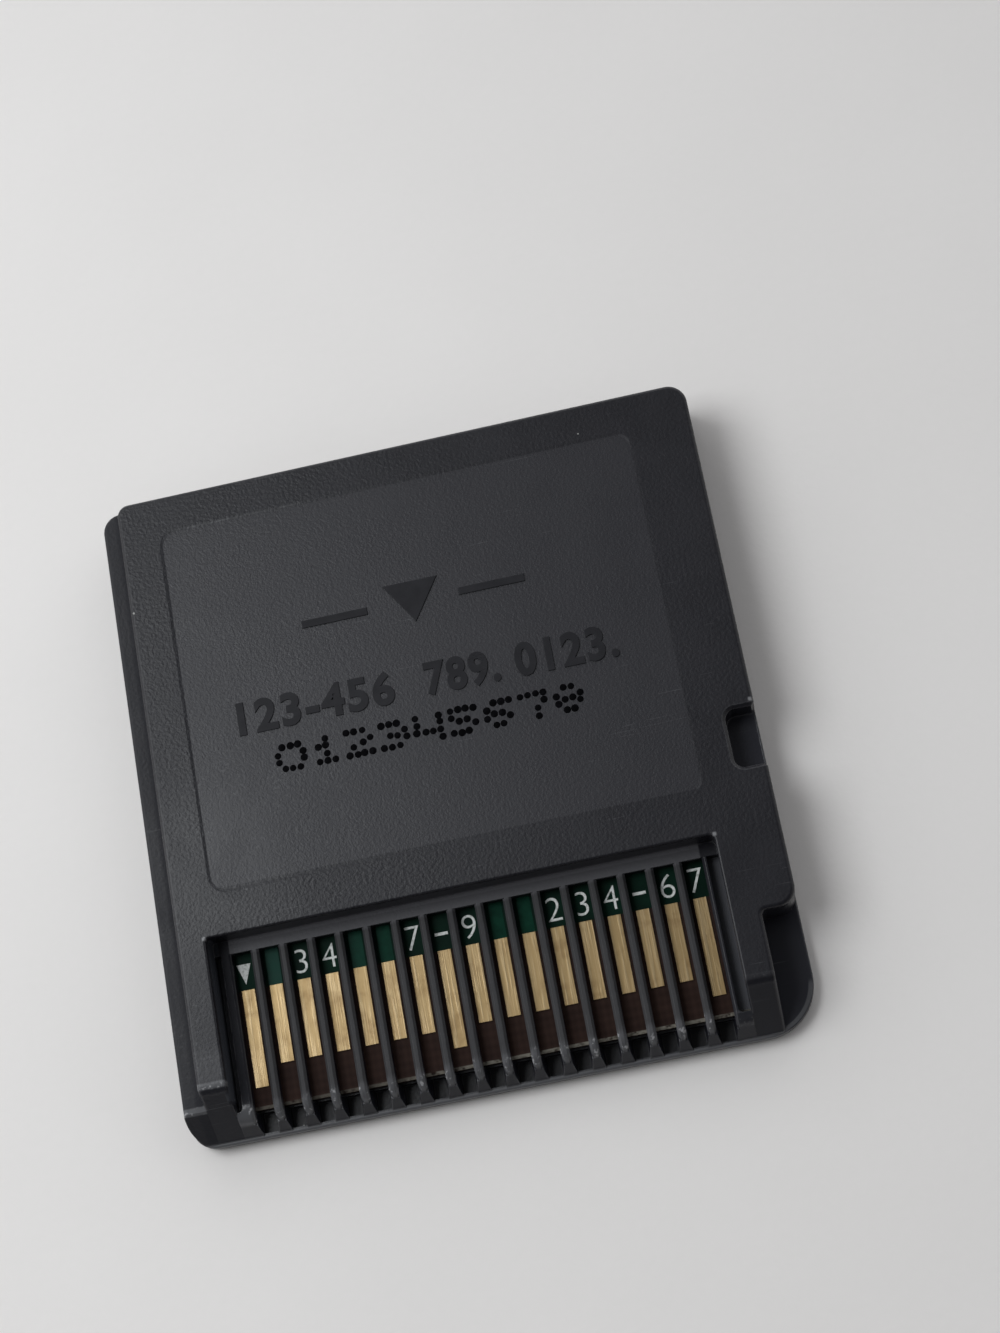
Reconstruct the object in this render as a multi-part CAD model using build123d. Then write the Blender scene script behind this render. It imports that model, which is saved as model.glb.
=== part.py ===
from build123d import *
import os

# Game card lying on its label face with its contacts up. Millimetres.
# X runs across the card, +Y points to the thumb edge and -Y to the contact end.
# Z rises from the label face at zero to the back face.

# Stack-up from the label face to the back face
front_floor = 0.75
board_lift = 0.2
board_thickness = 0.6
rib_height = 0.65
window_depth = 1.6

# Width stack-up from the guide ledge on the left to the step on the right
guide_width = 1.25
left_rail = 1.52
side_ledge = 0.87
contact_pitch = 1.5
contact_count = 17
slot_width = 1.05
right_rail = 1.54
step_width = 1.9

# Length, with the contact window stacked up from the contact end
card_length = 35.0
board_setback = 1.41
pad_setback = 1.12
pad_stagger = 1.03
pad_length = 4.09
mask_field = 1.92
crossbar = 0.73

# Plan corners of the card and of the contact window
thumb_right_radius = 1.05
thumb_left_radius = 1.0
body_left_radius = 0.65
end_left_radius = 1.3
end_right_radius = 2.8
window_left_radius = 0.2
window_right_radius = 0.3

# Back shell: guide ledge, keyed step, latch notch and slanted contact end
guide_drop = 1.05
guide_setback = 0.12
step_length = 6.0
step_outer_radius = 1.0
step_inner_radius = 0.25
notch_from_end = 13.43
notch_length = 3.14
notch_depth = 1.63
notch_drop = 1.7
notch_radius = 0.55
slant_run = 2.45
slant_bend_radius = 0.6
lip_setback = 0.15
rib_bend_radius = 0.9
rib_overhang = 0.12
rib_foot_flare = 0.14
left_groove = 0.33
right_groove = 0.62
groove_setback = 1.4
groove_radius = 0.25

# Back shell: panel, skin and the inside
panel_depth = 0.06
panel_draft = 70.0
panel_left_margin = 2.28
panel_right_margin = 3.48
panel_thumb_margin = 2.17
panel_setback = 2.35
panel_radius = 0.85
skin = 0.75
end_wall = 1.2
window_wall = 1.0
board_ledge = 0.8

# Edges of the mouldings
back_edge_radius = 0.22
ledge_edge_radius = 0.2
notch_edge_chamfer = 0.17
window_edge_radius = 0.12
rib_edge_chamfer = 0.13

# Front shell
rim_step = 0.15
tongue_width = 0.8
support_width = 0.8
front_edge_radius = 0.3
seam_radius = 0.12
pit_floor = 0.4
pit_lip = 0.12
label_depth = 0.2
label_side_margin = 1.8
label_thumb_margin = 1.8
label_end_margin = 6.4
label_radius = 1.0

# Board and contacts
board_tuck = 0.35
board_clearance = 0.1
tongue_clearance = 0.08
board_edge_bevel = 0.15
pad_width = 0.7
pad_thickness = 0.05
first_short_pads = 6

# Chips and passives beside the contacts, in the space under the back face
chip_standoff = 0.05
chip_height = 0.95
chip_draft = 6.0
memory_width = 11.0
memory_length = 8.4
memory_from_thumb = 7.4
memory_leads_per_side = 10
memory_lead_pitch = 0.8
save_width = 3.0
save_length = 4.4
save_from_slot = 5.2
save_from_left = 6.0
save_leads_per_side = 4
save_lead_pitch = 1.0
lead_width = 0.3
lead_thickness = 0.12
lead_reach = 0.9
lead_foot = 0.45
passive_length = 1.0
passive_width = 0.5
capacitor_height = 0.5
resistor_height = 0.32
passive_cap = 0.25
passive_inset = 0.03
passive_pitch = 2.2
passive_count = 5
capacitor_count = 3

# Levels
parting = front_floor + rim_step
board_low = front_floor + board_lift
board_top = board_low + board_thickness
rib_top = board_top + rib_height
back_face = rib_top + window_depth
guide_top = back_face - guide_drop
notch_floor = back_face - notch_drop
ceiling = back_face - panel_depth - skin

# Places across the card
window_width = (contact_count - 1) * contact_pitch + slot_width + 2 * side_ledge
card_width = guide_width + left_rail + window_width + right_rail + step_width
left = -card_width / 2
right = card_width / 2
body_left = left + guide_width
window_left = body_left + left_rail
window_right = window_left + window_width
step_left = right - step_width
window_centre = (window_left + window_right) / 2
first_contact = window_left + side_ledge + slot_width / 2
contact_places = [first_contact + i * contact_pitch for i in range(contact_count)]
long_pads = (1, first_short_pads + 2, contact_count)
board_left = window_left - board_tuck
board_right = window_right + board_tuck

# Places along the card
contact_end = -card_length / 2
thumb_end = card_length / 2
foot = contact_end + lip_setback
slant_top = foot + slant_run
rib_bend = foot + slant_run * (rib_top - parting) / (back_face - parting) - rib_overhang
board_end = contact_end + board_setback
long_pad_end = board_end + pad_setback
short_pad_end = long_pad_end + pad_stagger
pad_back = short_pad_end + pad_length
slot_back = pad_back + mask_field
window_back = slot_back + crossbar
step_back = contact_end + step_length
notch_low = contact_end + notch_from_end
notch_high = notch_low + notch_length
pocket_back = thumb_end - end_wall
board_back = pocket_back - board_clearance

# Cutters run past the faces that they open, and edges are found to within a hair
over = 1.0
near = 1e-4


def rounded(outline, corners):
    """Round the named corners of a flat outline, each by its own radius."""
    for x, y, radius in corners:
        corner = outline.vertices().sort_by_distance(Vector(x, y, 0))[0]
        outline = fillet(corner, radius)
    return outline


def frame_of(x0, x1, y0, y1):
    """A plain rectangle between two corners, on the ground plane."""
    return Pos((x0 + x1) / 2, (y0 + y1) / 2) * Rectangle(x1 - x0, y1 - y0)


def raised(outline, z0, z1):
    """Extrude a flat outline from one level up to another."""
    return Pos(0, 0, z0) * extrude(outline, z1 - z0)


def card_outline(setback=0):
    """Plan of the whole card, with a large keyed radius at one corner."""
    side = left + setback
    corners = (
        (side, contact_end, end_left_radius),
        (right, contact_end, end_right_radius),
        (right, thumb_end, thumb_right_radius),
        (side, thumb_end, thumb_left_radius),
    )
    return rounded(frame_of(side, right, contact_end, thumb_end), corners)


def body_outline():
    """Plan of the back shell beside its guide ledge, with the keyed step."""
    plan = make_face(Polyline(
        (body_left, contact_end),
        (step_left, contact_end),
        (step_left, step_back),
        (right, step_back),
        (right, thumb_end),
        (body_left, thumb_end),
        close=True,
    ))
    corners = (
        (step_left, step_back, step_inner_radius),
        (right, step_back, step_outer_radius),
        (right, thumb_end, thumb_right_radius),
        (body_left, thumb_end, body_left_radius),
    )
    return rounded(plan, corners)


def edges_at(solid, level):
    """The edges of a solid that lie flat at one level."""

    def flat(edge):
        box = edge.bounding_box()
        return abs(box.min.Z - level) < near and abs(box.max.Z - level) < near

    return solid.edges().filter_by(flat)


def end_profile():
    """Side view of the back shell, slanted at the contact end with a soft bend."""
    face = make_face(Polyline(
        (foot, parting),
        (slant_top, back_face),
        (thumb_end + over, back_face),
        (thumb_end + over, parting),
        close=True,
    ))
    return rounded(face, ((slant_top, back_face, slant_bend_radius),))


def end_keeper():
    """The side view carried across the card."""
    return Pos(left - over, 0, 0) * extrude(Plane.YZ * end_profile(), card_width + 2 * over)


def top_edges(body):
    """Outer edges of the back face and the side edges of the slanted end."""

    def on_top(edge):
        box = edge.bounding_box()
        rim = box.min.Z > back_face - near and box.max.Y > slant_top + slant_bend_radius
        slanted = box.size.X < near and box.size.Y > near and box.size.Z > near
        return rim or slanted

    return body.edges().filter_by(on_top)


def back_blank():
    """Outer block of the back shell: the guide ledge and the raised body."""
    ledge = raised(card_outline(guide_setback), parting, guide_top)
    ledge = fillet(edges_at(ledge, guide_top), ledge_edge_radius) & end_keeper()
    side = frame_of(left - over, body_left + over, contact_end - over, thumb_end + over)
    body = raised(body_outline(), parting, back_face) & end_keeper()
    body = fillet(top_edges(body), back_edge_radius)
    return (ledge & raised(side, parting, back_face)) + body


def grille_profile():
    """Side view of the rib grille, bent down beside the slant of the rails."""
    face = make_face(Polyline(
        (window_back, parting),
        (window_back, rib_top),
        (rib_bend, rib_top),
        (foot, parting),
        close=True,
    ))
    return rounded(face, ((rib_bend, rib_top, rib_bend_radius),))


def grille_block():
    """The grille before its slots are cut, between the two rails."""
    return Pos(window_left, 0, 0) * extrude(Plane.YZ * grille_profile(), window_width)


def window_cutter():
    """Contact window down to the parting, open at the contact end, for the grille to fill."""
    corners = (
        (window_left, window_back, window_left_radius),
        (window_right, window_back, window_right_radius),
    )
    plan = rounded(frame_of(window_left, window_right, contact_end - over, window_back), corners)
    return raised(plan, parting - over, back_face + over)


def slot_cutter(x):
    """One contact slot between two ribs, down to the board's face."""
    slot = frame_of(x - slot_width / 2, x + slot_width / 2, contact_end - over, slot_back)
    return raised(slot, board_top, back_face)


def foot_cutter(x):
    """The gap under a slot in front of the board, narrower between the ribs' feet."""
    wide = slot_width / 2
    half = wide - rib_foot_flare
    section = make_face(Polyline(
        (x - wide, board_top),
        (x + wide, board_top),
        (x + half, parting),
        (x + half, parting - over),
        (x - half, parting - over),
        (x - half, parting),
        close=True,
    ))
    return Pos(0, board_end, 0) * extrude(Plane.XZ * section, board_end - contact_end + over)


def groove_cutter(x0, x1, inner):
    """Groove along one side of the window, between the outer rib and the rail."""
    end = contact_end + groove_setback
    plan = rounded(frame_of(x0, x1, end, slot_back), ((inner, end, groove_radius),))
    return raised(plan, board_top, back_face)


def notch_cutter():
    """Latch notch in the right edge, with rounded inner corners."""
    inner = right - notch_depth
    plan = rounded(
        frame_of(inner, right + over, notch_low, notch_high),
        ((inner, notch_low, notch_radius), (inner, notch_high, notch_radius)),
    )
    return raised(plan, notch_floor, back_face + over)


def panel_cutter():
    """Shallow recessed panel in the back face, with a gently sloped edge."""
    x0 = body_left + panel_left_margin
    x1 = right - panel_right_margin
    y0 = window_back + panel_setback
    y1 = thumb_end - panel_thumb_margin
    corners = [(x, y, panel_radius) for x in (x0, x1) for y in (y0, y1)]
    plan = Pos(0, 0, back_face - panel_depth) * rounded(frame_of(x0, x1, y0, y1), corners)
    return extrude(plan, 2 * panel_depth, taper=-panel_draft)


def board_pocket(inset):
    """Plan of the space that the board drops into, or of what fits inside it."""
    return frame_of(
        board_left - board_clearance + inset,
        board_right + board_clearance - inset,
        board_end - board_clearance + inset,
        pocket_back - inset,
    )


def upper_pocket():
    """Space over the board, inside the ledge that holds the board down."""
    plan = frame_of(
        board_left + board_ledge,
        board_right - board_ledge,
        window_back + window_wall,
        pocket_back - board_ledge,
    )
    return raised(plan, board_low, ceiling)


def rib_edges(shell):
    """Long upper edges of the ribs and side ledges, round the bend to the foot."""
    walls = [x + side * slot_width / 2 for x in contact_places for side in (-1, 1)]
    inner_face = board_end - board_clearance

    def on_rib(edge):
        box = edge.bounding_box()
        in_wall = box.size.X < near and any(abs(box.min.X - wall) < near for wall in walls)
        flat = box.size.Z < near and box.min.Z > rib_top - near
        bent = box.size.Y > near and box.size.Z > near and box.min.Y < inner_face
        return in_wall and box.max.Y < slot_back + near and (flat or bent)

    return shell.edges().filter_by(on_rib)


def notch_edges(shell):
    """Edges of the latch notch in the back face."""
    inner = right - notch_depth

    def on_notch(edge):
        place = edge.center()
        beside = inner - near < place.X < right - back_edge_radius - near
        return beside and notch_low - near < place.Y < notch_high + near

    return edges_at(shell, back_face).filter_by(on_notch)


def window_edges(shell):
    """Edges of the contact window in the back face."""

    def on_window(edge):
        place = edge.center()
        across = window_left - near < place.X < window_right + near
        return across and place.Y < window_back + near

    return edges_at(shell, back_face).filter_by(on_window)


def back_shell():
    """Back half of the case: one moulding with the rib grille over the contacts."""
    shell = back_blank() - window_cutter() + grille_block()
    shell = shell - notch_cutter() - panel_cutter()
    shell = shell - raised(board_pocket(0), parting - over, board_top) - upper_pocket()
    shell = shell - [slot_cutter(x) for x in contact_places]
    left_rib = window_left + left_groove
    right_rib = window_right - right_groove
    shell = shell - groove_cutter(window_left, left_rib, left_rib)
    shell = shell - groove_cutter(right_rib, window_right, right_rib)
    shell = chamfer(rib_edges(shell), rib_edge_chamfer)
    shell = shell - [foot_cutter(x) for x in contact_places]
    shell = chamfer(notch_edges(shell), notch_edge_chamfer)
    return fillet(window_edges(shell), window_edge_radius)


def front_shell():
    """Front half of the case: a thin tray with a tongue that carries the board.

    The rim at the contact end has a pit in front of each contact.
    """
    tray = raised(card_outline(), 0, parting)
    tray = fillet(edges_at(tray, 0), front_edge_radius)
    tray = fillet(edges_at(tray, parting), seam_radius)
    tongue_plan = board_pocket(tongue_clearance)
    well_plan = board_pocket(tongue_clearance + tongue_width)
    tray = tray + raised(tongue_plan, front_floor, board_low)
    tray = tray - raised(well_plan, front_floor, board_low + over)
    for y in (short_pad_end, pad_back):
        support = frame_of(
            board_left + tongue_width / 2,
            board_right - tongue_width / 2,
            y - support_width / 2,
            y + support_width / 2,
        )
        tray = tray + raised(support, front_floor, board_low)
    half = slot_width / 2 - rib_foot_flare
    for x in contact_places:
        pit = frame_of(x - half, x + half, foot + pit_lip, board_end - board_clearance)
        tray = tray - raised(pit, pit_floor, parting + over)
    x1 = right - label_side_margin
    y0 = contact_end + label_end_margin
    y1 = thumb_end - label_thumb_margin
    corners = [(x, y, label_radius) for x in (-x1, x1) for y in (y0, y1)]
    return tray - raised(rounded(frame_of(-x1, x1, y0, y1), corners), -over, label_depth)


def circuit_board():
    """Board with a bevelled edge where the contacts enter the socket."""
    plan = frame_of(board_left, board_right, board_end, board_back)
    board = raised(plan, board_low, board_top)
    lead_in = edges_at(board, board_top).sort_by(Axis.Y)[0]
    return chamfer(lead_in, board_edge_bevel)


def contact_pad(number):
    """One gold contact on the board; the long ones meet the socket first."""
    x = contact_places[number - 1]
    end = long_pad_end if number in long_pads else short_pad_end
    plan = frame_of(x - pad_width / 2, x + pad_width / 2, end, pad_back)
    return raised(plan, board_top, board_top + pad_thickness)


def chip_body(x, y, width, length):
    """Moulded chip over the board, drafted towards its top."""
    plan = Pos(x, y, board_top + chip_standoff) * Rectangle(width, length)
    return extrude(plan, chip_height, taper=chip_draft)


def chip_lead(x, y, half_width, side):
    """One bent lead from a chip's side down to the board's face."""
    knee = board_top + chip_standoff + chip_height / 2
    outer = half_width + lead_reach
    inner = outer - lead_foot
    face = make_face(Polyline(
        (half_width - lead_thickness, knee),
        (inner - lead_thickness, knee),
        (inner, board_top + lead_thickness),
        (outer, board_top + lead_thickness),
        (outer, board_top),
        (inner - lead_thickness, board_top),
        (inner - 2 * lead_thickness, knee - lead_thickness),
        (half_width - lead_thickness, knee - lead_thickness),
        close=True,
    ))
    lead = Pos(0, lead_width / 2, 0) * extrude(Plane.XZ * face, lead_width)
    if side < 0:
        lead = mirror(lead, about=Plane.YZ)
    return Pos(x, y, 0) * lead


def chip(x, y, width, length, count, pitch):
    """A chip's body and its two rows of leads, which end inside the body."""
    leads = []
    for side in (-1, 1):
        for i in range(count):
            place = y + (i - (count - 1) / 2) * pitch
            leads.append(chip_lead(x, place, width / 2, side))
    body = chip_body(x, y, width, length)
    for lead in leads:
        body = body - lead
    return body, leads


def passive(x, y, height):
    """Small chip part: a body between two end caps, seated on the board."""
    body = frame_of(
        x - passive_length / 2 + passive_cap,
        x + passive_length / 2 - passive_cap,
        y - passive_width / 2 + passive_inset,
        y + passive_width / 2 - passive_inset,
    )
    solid = raised(body, board_top, board_top + height - passive_inset)
    for side in (-1, 1):
        outer = x + side * passive_length / 2
        inner = outer - side * passive_cap
        cap = frame_of(min(inner, outer), max(inner, outer), y - passive_width / 2, y + passive_width / 2)
        solid = solid + raised(cap, board_top, board_top + height)
    return solid


def write(name, shape):
    """Write one node's STEP file."""
    export_step(shape, os.path.join("parts", name + ".step"))


os.makedirs("parts", exist_ok=True)

write("back_shell", back_shell())
write("front_shell", front_shell())
write("circuit_board", circuit_board())
for number in range(1, contact_count + 1):
    write(f"contact_pad_{number:02d}", contact_pad(number))

memory_y = board_back - memory_from_thumb
memory, memory_leads = chip(
    window_centre, memory_y, memory_width, memory_length, memory_leads_per_side, memory_lead_pitch
)
write("memory_chip_body", memory)
write("memory_chip_leads", Compound(memory_leads))

save_x = board_left + save_from_left
save_y = slot_back + save_from_slot
save, save_leads = chip(save_x, save_y, save_width, save_length, save_leads_per_side, save_lead_pitch)
write("save_chip_body", save)
write("save_chip_leads", Compound(save_leads))

for i in range(passive_count):
    place = window_centre + i * passive_pitch
    if i < capacitor_count:
        write(f"capacitor_{i + 1}", passive(place, save_y, capacitor_height))
    else:
        write(f"resistor_{i - capacitor_count + 1}", passive(place, save_y, resistor_height))
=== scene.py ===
"""Looks of a handheld-console game card: finishes, print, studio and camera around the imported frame.

Sizes in the fields are millimetres and turn into metres where a mesh, a light or the camera is made.
The CAD nodes keep their shapes and get their finishes here. Print, marks and trace lines are new pieces.
"""

import logging
import math
import random
from collections.abc import Iterable, Mapping
from dataclasses import dataclass
from enum import Enum
from typing import Any, ClassVar

import bmesh
import bpy
from mathutils import Matrix, Vector


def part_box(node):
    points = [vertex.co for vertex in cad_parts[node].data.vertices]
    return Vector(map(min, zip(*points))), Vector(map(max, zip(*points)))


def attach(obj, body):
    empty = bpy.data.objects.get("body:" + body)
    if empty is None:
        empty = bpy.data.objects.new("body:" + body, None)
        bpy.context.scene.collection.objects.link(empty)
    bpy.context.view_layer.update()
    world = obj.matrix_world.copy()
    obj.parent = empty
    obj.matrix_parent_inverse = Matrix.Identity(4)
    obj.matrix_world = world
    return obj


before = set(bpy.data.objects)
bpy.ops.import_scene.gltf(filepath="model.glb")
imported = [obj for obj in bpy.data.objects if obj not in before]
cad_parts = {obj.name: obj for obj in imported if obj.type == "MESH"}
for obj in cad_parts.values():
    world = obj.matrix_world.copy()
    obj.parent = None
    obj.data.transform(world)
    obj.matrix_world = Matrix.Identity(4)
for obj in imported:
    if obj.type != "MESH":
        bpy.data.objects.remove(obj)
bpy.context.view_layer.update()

LOG = logging.getLogger("game_card")
MM = 0.001
BODY = "root"

Colour = tuple[float, float, float, float]
Point = tuple[float, float, float]


class Slot(Enum):
    """Two material slot names of the record; no piece in this script takes its finish from them."""

    CASE = "case_plastic"
    BOARD = "board_laminate"


class Silk(Enum):
    """What is printed on the board above a contact."""

    ARROW = "arrow"
    DIGIT = "digit"
    DASH = "dash"
    TRACE = "trace"


@dataclass(frozen=True)
class Box:
    """A node's lowest and highest corners, in millimetres."""

    low: Vector
    high: Vector

    @classmethod
    def of(cls, node: str) -> "Box":
        """Read a CAD node's box from the frame.

        Args:
            node: The CAD node's name.

        Returns:
            The node's box in millimetres.
        """
        low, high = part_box(node)
        return cls(low / MM, high / MM)

    @property
    def centre(self) -> Vector:
        """The middle of the box."""
        return (self.low + self.high) / 2


@dataclass(frozen=True)
class Field:
    """A rectangle on the card, seen from above, in millimetres."""

    left: float
    right: float
    near: float
    far: float

    def grown(self, margin: float) -> "Field":
        """The rectangle with a margin added all round."""
        return Field(self.left - margin, self.right + margin, self.near - margin, self.far + margin)


class Signal:
    """A socket of a material's nodes, with arithmetic that adds Math nodes."""

    def __init__(self, bench: "Nodes", socket: bpy.types.NodeSocket) -> None:
        """Keep the socket and the nodes that it belongs to."""
        self.bench = bench
        self.socket = socket

    def math(self, operation: str, *terms: "Signal | float") -> "Signal":
        """Add a Math node.

        Args:
            operation: The Math node's operation.
            terms: Its inputs in order, sockets or numbers.

        Returns:
            The node's result.
        """
        return self.bench.node("ShaderNodeMath", {"operation": operation}, dict(enumerate(terms)))

    def __add__(self, other: "Signal | float") -> "Signal":
        """Add a socket or a number."""
        return self.math("ADD", self, other)

    __radd__ = __add__

    def __sub__(self, other: "Signal | float") -> "Signal":
        """Take a socket or a number away."""
        return self.math("SUBTRACT", self, other)

    def __rsub__(self, other: float) -> "Signal":
        """Take this socket away from a number."""
        return self.math("SUBTRACT", other, self)

    def __mul__(self, other: "Signal | float") -> "Signal":
        """Multiply by a socket or a number."""
        return self.math("MULTIPLY", self, other)

    __rmul__ = __mul__

    def __truediv__(self, other: "Signal | float") -> "Signal":
        """Divide by a socket or a number."""
        return self.math("DIVIDE", self, other)

    def __rtruediv__(self, other: float) -> "Signal":
        """Divide a number by this socket."""
        return self.math("DIVIDE", other, self)

    def rise(self, low: float, high: float) -> "Signal":
        """A smooth step.

        Args:
            low: Where the step leaves 0, or 1 where low is the greater.
            high: Where it reaches 1, or 0 where low is the greater.

        Returns:
            A value from 0 to 1.
        """
        stops = {"From Min": min(low, high), "From Max": max(low, high)}
        step = self.bench.node(
            "ShaderNodeMapRange", {"interpolation_type": "SMOOTHSTEP"}, {"Value": self, **stops}
        )
        return step if low < high else 1 - step

    def over(self, least: float) -> "Signal":
        """The value, or the least that it may be."""
        return self.math("MAXIMUM", self, least)

    def within(self, low: float, high: float, soft: float) -> "Signal":
        """A band.

        Args:
            low: Where the band begins.
            high: Where it ends.
            soft: The width of its two soft borders.

        Returns:
            A value of 1 inside the band and 0 outside.
        """
        half = soft / 2
        return self.rise(low - half, low + half) * self.rise(high + half, high - half)


class Nodes:
    """The nodes of a material or of the room, emptied and made again."""

    def __init__(self, owner: bpy.types.Material | bpy.types.World) -> None:
        """Empty the owner's nodes.

        Args:
            owner: The material, or the room.
        """
        owner.use_nodes = True
        self.tree = owner.node_tree
        self.tree.nodes.clear()

    def make(
        self,
        kind: str,
        settings: Mapping[str, Any] | None = None,
        inputs: Mapping[str | int, Any] | None = None,
    ) -> bpy.types.Node:
        """Make one node.

        Args:
            kind: The node's type.
            settings: The node's own settings, set first.
            inputs: Values or links of its sockets.

        Returns:
            The new node.
        """
        made = self.tree.nodes.new(kind)
        for key, value in (settings or {}).items():
            setattr(made, key, value)
        for key, value in (inputs or {}).items():
            if isinstance(value, Signal):
                self.tree.links.new(value.socket, made.inputs[key])
            else:
                made.inputs[key].default_value = value
        return made

    def node(
        self,
        kind: str,
        settings: Mapping[str, Any] | None = None,
        inputs: Mapping[str | int, Any] | None = None,
        output: str | int = 0,
    ) -> Signal:
        """Make one node and take one of its outputs.

        Args:
            kind: The node's type.
            settings: The node's own settings.
            inputs: Values or links of its sockets.
            output: The socket to hand back.

        Returns:
            The chosen output.
        """
        return Signal(self, self.make(kind, settings, inputs).outputs[output])

    def part(self, vector: Signal, name: str) -> Signal:
        """One of a vector's X, Y and Z."""
        return self.node("ShaderNodeSeparateXYZ", None, {0: vector}, name)


class Bench(Nodes):
    """A new material and what its finish is made from."""

    MIX_FACTOR, MIX_A, MIX_B, MIX_RESULT = 0, 6, 7, 2

    def __init__(self, name: str) -> None:
        """Start an empty material with places measured in millimetres.

        Args:
            name: The material's name.
        """
        self.material = bpy.data.materials.new(name)
        super().__init__(self.material)
        metres = self.node("ShaderNodeTexCoord", output="Object")
        self.place = self.node("ShaderNodeVectorMath", {"operation": "SCALE"}, {0: metres, "Scale": 1 / MM})

    def axis(self, name: str) -> Signal:
        """One coordinate of the place, in millimetres."""
        return self.part(self.place, name)

    def field(self, area: Field, soft: float) -> Signal:
        """A rectangle on the card, seen from above.

        Args:
            area: The rectangle.
            soft: The width of its soft border.

        Returns:
            A value of 1 inside and 0 outside.
        """
        across = self.axis("X").within(area.left, area.right, soft)
        return across * self.axis("Y").within(area.near, area.far, soft)

    def stretched(self, scale: Point, turn: float = 0.0) -> Signal:
        """The place, turned about the card's upright axis and scaled.

        Args:
            scale: The scale along each axis after the turn.
            turn: The turn in degrees.

        Returns:
            The new coordinates.
        """
        values = {"Vector": self.place, "Rotation": (0.0, 0.0, math.radians(turn)), "Scale": scale}
        return self.node("ShaderNodeMapping", {"vector_type": "POINT"}, values)

    def noise(self, size: float, detail: float = 2.0, place: Signal | None = None) -> Signal:
        """Soft noise.

        Args:
            size: The size of its lumps in millimetres.
            detail: How many finer layers it has.
            place: Other coordinates than the plain ones.

        Returns:
            A value about 0.5.
        """
        values = {"Vector": place or self.place, "Scale": 1 / size, "Detail": detail, "Roughness": 0.55}
        return self.node("ShaderNodeTexNoise", {"noise_dimensions": "3D"}, values)

    def specks(self, spacing: float, radius: float) -> Signal:
        """Small round specks of uneven size.

        Args:
            spacing: The distance from speck to speck in millimetres.
            radius: The radius of the largest in millimetres.

        Returns:
            A value of 1 in a speck and 0 outside.
        """
        values = {"Vector": self.place, "Scale": 1 / spacing, "Randomness": 1.0}
        distance = self.node("ShaderNodeTexVoronoi", {"feature": "F1"}, values, "Distance")
        chance = self.node("ShaderNodeTexVoronoi", {"feature": "F1"}, values, "Color")
        share = self.node("ShaderNodeSeparateColor", None, {0: chance}, "Red")
        reach = share.rise(0.45, 1.0) * (radius / spacing)
        return (reach - distance).rise(0.0, 0.35 * radius / spacing)

    def edges(self, radius: float, full: float) -> Signal:
        """The bends and corners of the solid.

        Args:
            radius: How far from an edge the mask reaches, in millimetres.
            full: How far the rounded normal has to lean for a mask of 1.

        Returns:
            A value from 0 on flats to 1 on edges.
        """
        lean = self.node("ShaderNodeBevel", {"samples": 6}, {"Radius": radius * MM})
        flat = self.node("ShaderNodeNewGeometry", output="True Normal")
        same = self.node("ShaderNodeVectorMath", {"operation": "DOT_PRODUCT"}, {0: lean, 1: flat}, "Value")
        return (1 - same).rise(0.1 * full, full)

    def mix(self, factor: Signal | float, first: Signal | Colour, second: Signal | Colour) -> Signal:
        """Mix two colours.

        Args:
            factor: The share of the second.
            first: The first colour.
            second: The second colour.

        Returns:
            The mixed colour.
        """
        values = {self.MIX_FACTOR: factor, self.MIX_A: first, self.MIX_B: second}
        return self.node("ShaderNodeMix", {"data_type": "RGBA"}, values, self.MIX_RESULT)

    def bump(self, height: Signal, depth: float, radius: float = 0.0, level: Signal | None = None) -> Signal:
        """A fine relief.

        Args:
            height: The relief from 0 to 1.
            depth: Its depth in millimetres.
            radius: The radius that sharp edges are shaded with, in millimetres, or 0 for none.
            level: How far gentle slopes are shaded as if they were level, from 0 to 1.

        Returns:
            The leaning normal.
        """
        values: dict[str | int, Any] = {"Strength": 1.0, "Distance": depth * MM, "Height": height}
        if radius:
            values["Normal"] = self.node("ShaderNodeBevel", {"samples": 6}, {"Radius": radius * MM})
        if radius and level:
            values["Normal"] = self.levelled(values["Normal"], level)
        return self.node("ShaderNodeBump", None, values)

    def levelled(self, normal: Signal, share: Signal) -> Signal:
        """A normal that leans less.

        Args:
            normal: The normal.
            share: How far it turns upright, from 0 to 1.

        Returns:
            The turned normal.
        """
        away = self.node("ShaderNodeVectorMath", {"operation": "SUBTRACT"}, {0: (0.0, 0.0, 1.0), 1: normal})
        part = self.node("ShaderNodeVectorMath", {"operation": "SCALE"}, {0: away, "Scale": share})
        turned = self.node("ShaderNodeVectorMath", {"operation": "ADD"}, {0: normal, 1: part})
        return self.node("ShaderNodeVectorMath", {"operation": "NORMALIZE"}, {0: turned})

    def surface(self, **sockets: Any) -> bpy.types.Material:
        """Close the material with a Principled surface.

        Args:
            sockets: Values or links by socket name, with _ for a space.

        Returns:
            The finished material.
        """
        values = {name.replace("_", " "): value for name, value in sockets.items()}
        shader = self.node("ShaderNodeBsdfPrincipled", None, values)
        self.make("ShaderNodeOutputMaterial", None, {"Surface": shader})
        return self.material


@dataclass(frozen=True)
class CaseMasks:
    """Where the finishes of the case show, each from 0 to 1."""

    panel: Signal
    rim: Signal
    rib: Signal
    shade: Signal
    smooth: Signal
    dull: Signal
    nose: Signal
    end: Signal
    corner: Signal
    slant: Signal


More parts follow.
